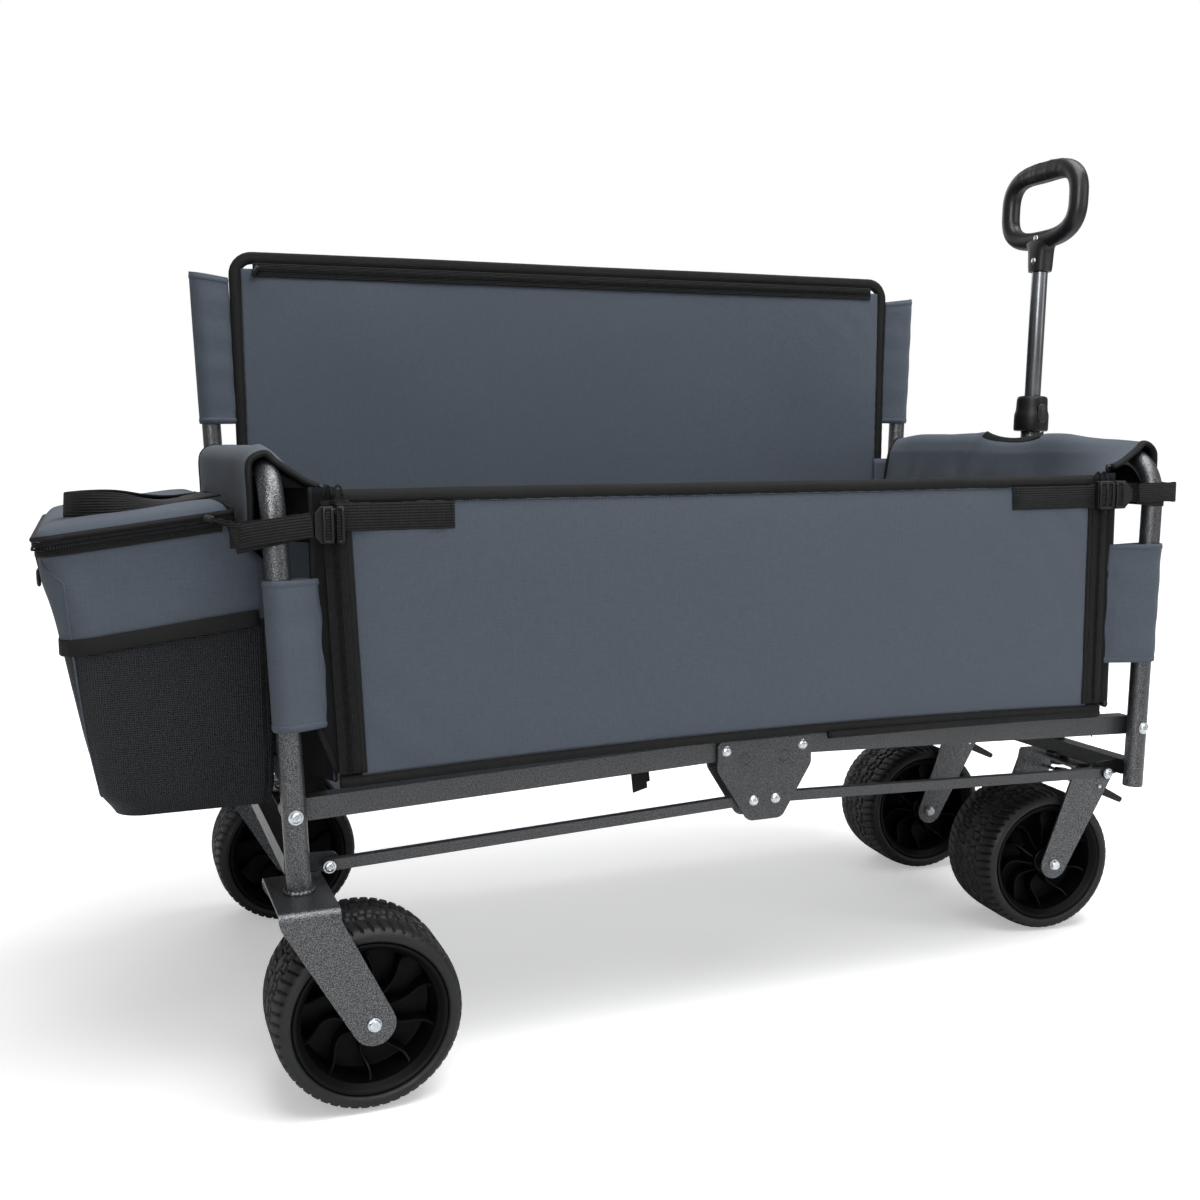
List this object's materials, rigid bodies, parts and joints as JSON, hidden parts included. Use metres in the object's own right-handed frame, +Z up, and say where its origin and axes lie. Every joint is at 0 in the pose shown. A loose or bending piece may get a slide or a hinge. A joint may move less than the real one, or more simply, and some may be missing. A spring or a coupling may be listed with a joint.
{
  "type": "folding wagon",
  "caption": "Folding wagon with fabric sides, a drop-down side, a tall bench back, a zipped end bag, wide wheels and a telescopic pull handle.",
  "frame": {"origin": "on the floor under the middle of the overall box", "axes": "+X towards the pull handle, +Y towards the tall bench back, +Z up"},
  "size_m": [1.4343, 0.7368, 1.0901],
  "materials": {
    "frame_paint": "hammertone dark grey powder coat, semi-gloss",
    "dark_paint": "black-grey powder coat",
    "zinc": "bright zinc plate",
    "tyre_rubber": "charcoal rubber with a moulded tread",
    "rim_plastic": "black moulded plastic, glossy lip",
    "black_plastic": "black moulded plastic",
    "grey_fabric": "slate grey coated oxford weave, black binding",
    "mesh_fabric": "black netting",
    "webbing": "black ribbed webbing",
    "handle_tube": "dark grey tube"
  },
  "bodies": {
    "rear_frame": {"rear_near_post": "frame_paint", "rear_far_post": "frame_paint", "rear_cross_beam": "dark_paint", "rear_near_fork": "frame_paint", "rear_far_fork": "frame_paint", "rear_near_axle": "zinc", "rear_far_axle": "zinc", "rear_near_rail_bolt": "zinc", "rear_far_rail_bolt": "zinc", "rear_end_panel": "grey_fabric", "rear_arm_cover": "grey_fabric", "back_panel": "grey_fabric", "rear_post_strap": "webbing", "rear_buckle": "black_plastic", "bag_body": "grey_fabric", "bag_pocket": "mesh_fabric"},
    "rear_near_wheel": {"rear_near_tyre": "tyre_rubber", "rear_near_rim": "rim_plastic"},
    "rear_far_wheel": {"rear_far_tyre": "tyre_rubber", "rear_far_rim": "rim_plastic"},
    "rear_rails": {"rear_near_rail": "frame_paint", "rear_far_rail": "frame_paint", "rear_floor_board": "grey_fabric"},
    "centre_link": {"near_hinge_plates": "frame_paint", "far_hinge_plates": "frame_paint", "centre_floor_board": "grey_fabric"},
    "front_rails": {"front_near_rail": "frame_paint", "front_far_rail": "frame_paint", "front_floor_board": "grey_fabric"},
    "rear_rods": {"rear_near_rod": "frame_paint", "rear_far_rod": "frame_paint"},
    "front_rods": {"front_near_rod": "frame_paint", "front_far_rod": "frame_paint"},
    "front_frame": {"front_near_post": "frame_paint", "front_far_post": "frame_paint", "front_cross_beam": "dark_paint", "front_near_rail_bolt": "zinc", "front_far_rail_bolt": "zinc", "front_end_panel": "grey_fabric", "front_arm_cover": "grey_fabric", "front_post_strap": "webbing", "front_buckle": "black_plastic", "handle_bracket": "dark_paint"},
    "near_caster": {"near_caster_fork": "frame_paint", "near_caster_axle": "zinc"},
    "near_caster_wheel": {"near_caster_tyre": "tyre_rubber", "near_caster_rim": "rim_plastic"},
    "near_pedal": {"near_brake_pedal": "black_plastic"},
    "far_caster": {"far_caster_fork": "frame_paint", "far_caster_axle": "zinc"},
    "far_caster_wheel": {"far_caster_tyre": "tyre_rubber", "far_caster_rim": "rim_plastic"},
    "far_pedal": {"far_brake_pedal": "black_plastic"},
    "handle_lower": {"handle_lower_tube": "frame_paint", "handle_collar": "black_plastic"},
    "handle_release": {"handle_button": "black_plastic"},
    "handle_upper": {"handle_upper_tube": "handle_tube", "handle_grip": "black_plastic"},
    "near_side": {"near_panel": "grey_fabric"},
    "bag_top": {"bag_lid": "grey_fabric"}
  },
  "joints": [
    {"name": "fold", "type": "hinge", "parent": "rear_frame", "child": "rear_rails", "pos_m": [-0.4804, 0, 0.3075], "axis": [0, -1, 0], "range_deg": [0, 76], "deforming": ["near_panel", "back_panel"]},
    {"name": "fold_centre", "type": "hinge", "parent": "rear_rails", "child": "centre_link", "pos_m": [0.0181, 0, 0.3264], "axis": [0, -1, 0], "range_deg": [-76, 0]},
    {"name": "fold_front_rails", "type": "hinge", "parent": "centre_link", "child": "front_rails", "pos_m": [0.1191, 0, 0.3264], "axis": [0, -1, 0], "range_deg": [-76, 0]},
    {"name": "fold_front_frame", "type": "hinge", "parent": "front_rails", "child": "front_frame", "pos_m": [0.6176, 0, 0.3075], "axis": [0, -1, 0], "range_deg": [0, 76]},
    {"name": "fold_rear_rods", "type": "hinge", "parent": "rear_frame", "child": "rear_rods", "pos_m": [-0.4444, 0, 0.2451], "axis": [0, -1, 0], "range_deg": [0, 76]},
    {"name": "fold_front_rods", "type": "hinge", "parent": "centre_link", "child": "front_rods", "pos_m": [0.0831, 0, 0.264], "axis": [0, -1, 0], "range_deg": [-76, 0]},
    {"name": "rear_near_wheel_spin", "type": "hinge", "parent": "rear_frame", "child": "rear_near_wheel", "pos_m": [-0.4164, -0.296, 0.099], "axis": [0, 1, 0], "continuous": true},
    {"name": "rear_far_wheel_spin", "type": "hinge", "parent": "rear_frame", "child": "rear_far_wheel", "pos_m": [-0.4164, 0.296, 0.099], "axis": [0, 1, 0], "continuous": true},
    {"name": "near_caster_swivel", "type": "hinge", "parent": "front_frame", "child": "near_caster", "pos_m": [0.6176, -0.1465, 0.25], "axis": [0, 0, 1], "continuous": true},
    {"name": "near_caster_spin", "type": "hinge", "parent": "near_caster", "child": "near_caster_wheel", "pos_m": [0.5713, -0.1422, 0.099], "axis": [0.0924, 0.9957, 0], "continuous": true},
    {"name": "near_brake_press", "type": "hinge", "parent": "near_caster", "child": "near_pedal", "pos_m": [0.63951, -0.14853, 0.205], "axis": [0.0924, 0.9957, 0], "range_deg": [0, 12]},
    {"name": "far_caster_swivel", "type": "hinge", "parent": "front_frame", "child": "far_caster", "pos_m": [0.6176, 0.1465, 0.25], "axis": [0, 0, 1], "continuous": true},
    {"name": "far_caster_spin", "type": "hinge", "parent": "far_caster", "child": "far_caster_wheel", "pos_m": [0.57125, 0.15023, 0.099], "axis": [0.0802, 0.9968, 0], "continuous": true},
    {"name": "far_brake_press", "type": "hinge", "parent": "far_caster", "child": "far_pedal", "pos_m": [0.63953, 0.14474, 0.205], "axis": [0.0802, 0.9968, 0], "range_deg": [0, 12]},
    {"name": "handle_tilt", "type": "hinge", "parent": "front_frame", "child": "handle_lower", "pos_m": [0.6561, 0, 0.262], "axis": [0, 1, 0], "range_deg": [0, 88]},
    {"name": "handle_extend", "type": "slide", "parent": "handle_lower", "child": "handle_upper", "axis": [0.0338, 0, 0.9994], "range_m": [-0.178, 0.2]},
    {"name": "button_press", "type": "slide", "parent": "handle_lower", "child": "handle_release", "axis": [0, 1, 0], "range_m": [0, 0.003], "stiffness_N_per_m": 600, "springref_m": -0.001},
    {"name": "panel_drop", "type": "hinge", "parent": "rear_frame", "child": "near_side", "pos_m": [0.0686, -0.303, 0.325], "axis": [1, 0, 0], "range_deg": [0, 130]},
    {"name": "bag_lid_open", "type": "hinge", "parent": "rear_frame", "child": "bag_top", "pos_m": [-0.5234, 0, 0.631], "axis": [0, 1, 0], "range_deg": [0, 95]}
  ],
  "couplings": [
    {"joint": "fold_centre", "follows": "fold", "ratio": -1},
    {"joint": "fold_front_rails", "follows": "fold", "ratio": -1},
    {"joint": "fold_front_frame", "follows": "fold", "ratio": 1},
    {"joint": "fold_rear_rods", "follows": "fold", "ratio": 1},
    {"joint": "fold_front_rods", "follows": "fold", "ratio": -1}
  ]
}
